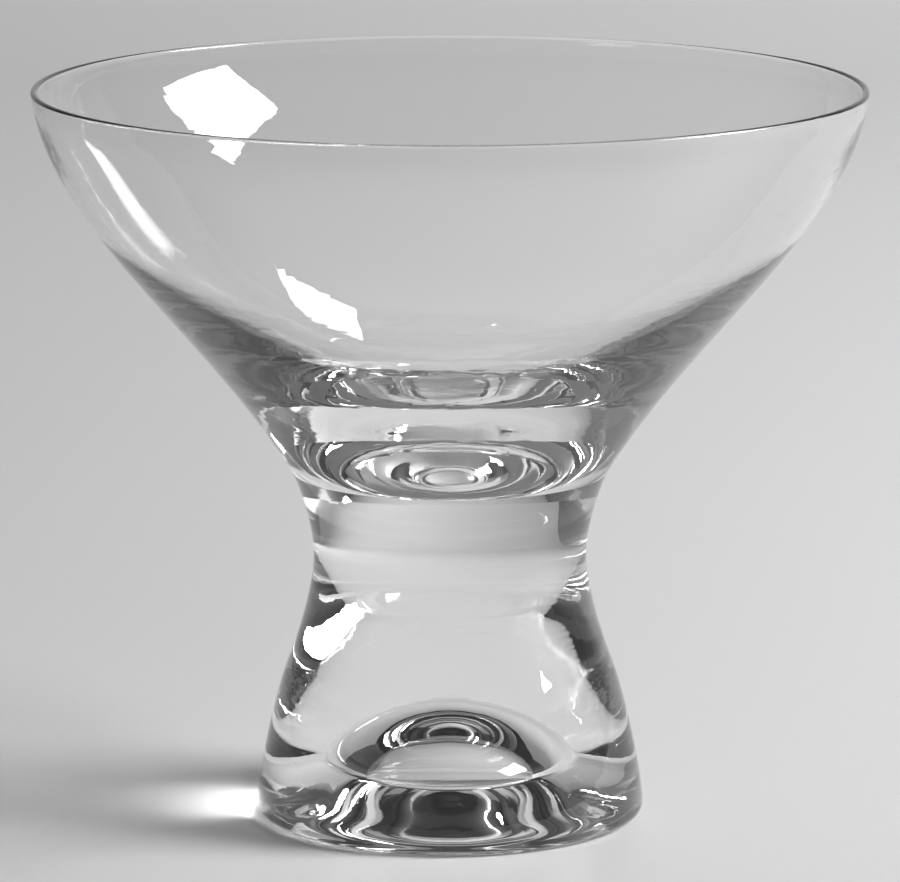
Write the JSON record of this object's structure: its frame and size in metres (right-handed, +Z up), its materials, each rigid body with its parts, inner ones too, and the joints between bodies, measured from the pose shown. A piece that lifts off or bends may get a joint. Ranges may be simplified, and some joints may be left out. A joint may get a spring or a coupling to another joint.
{
  "type": "cocktail glass",
  "caption": "Clear cocktail glass: a wide flared bowl on a short solid waisted stem and a heavy foot hollowed from below, for serving one chilled drink.",
  "frame": {"origin": "middle of the foot's underside, on the table it stands on", "axes": "+Z up along the glass's axis; the glass is a solid of revolution, so X and Y are interchangeable"},
  "size_m": [0.116, 0.116, 0.103],
  "materials": {
    "glass": "clear and colourless, fire-polished, with faint tooling ripples"
  },
  "bodies": {
    "root": {"bowl": "glass", "stem": "glass", "foot": "glass"}
  },
  "joints": []
}
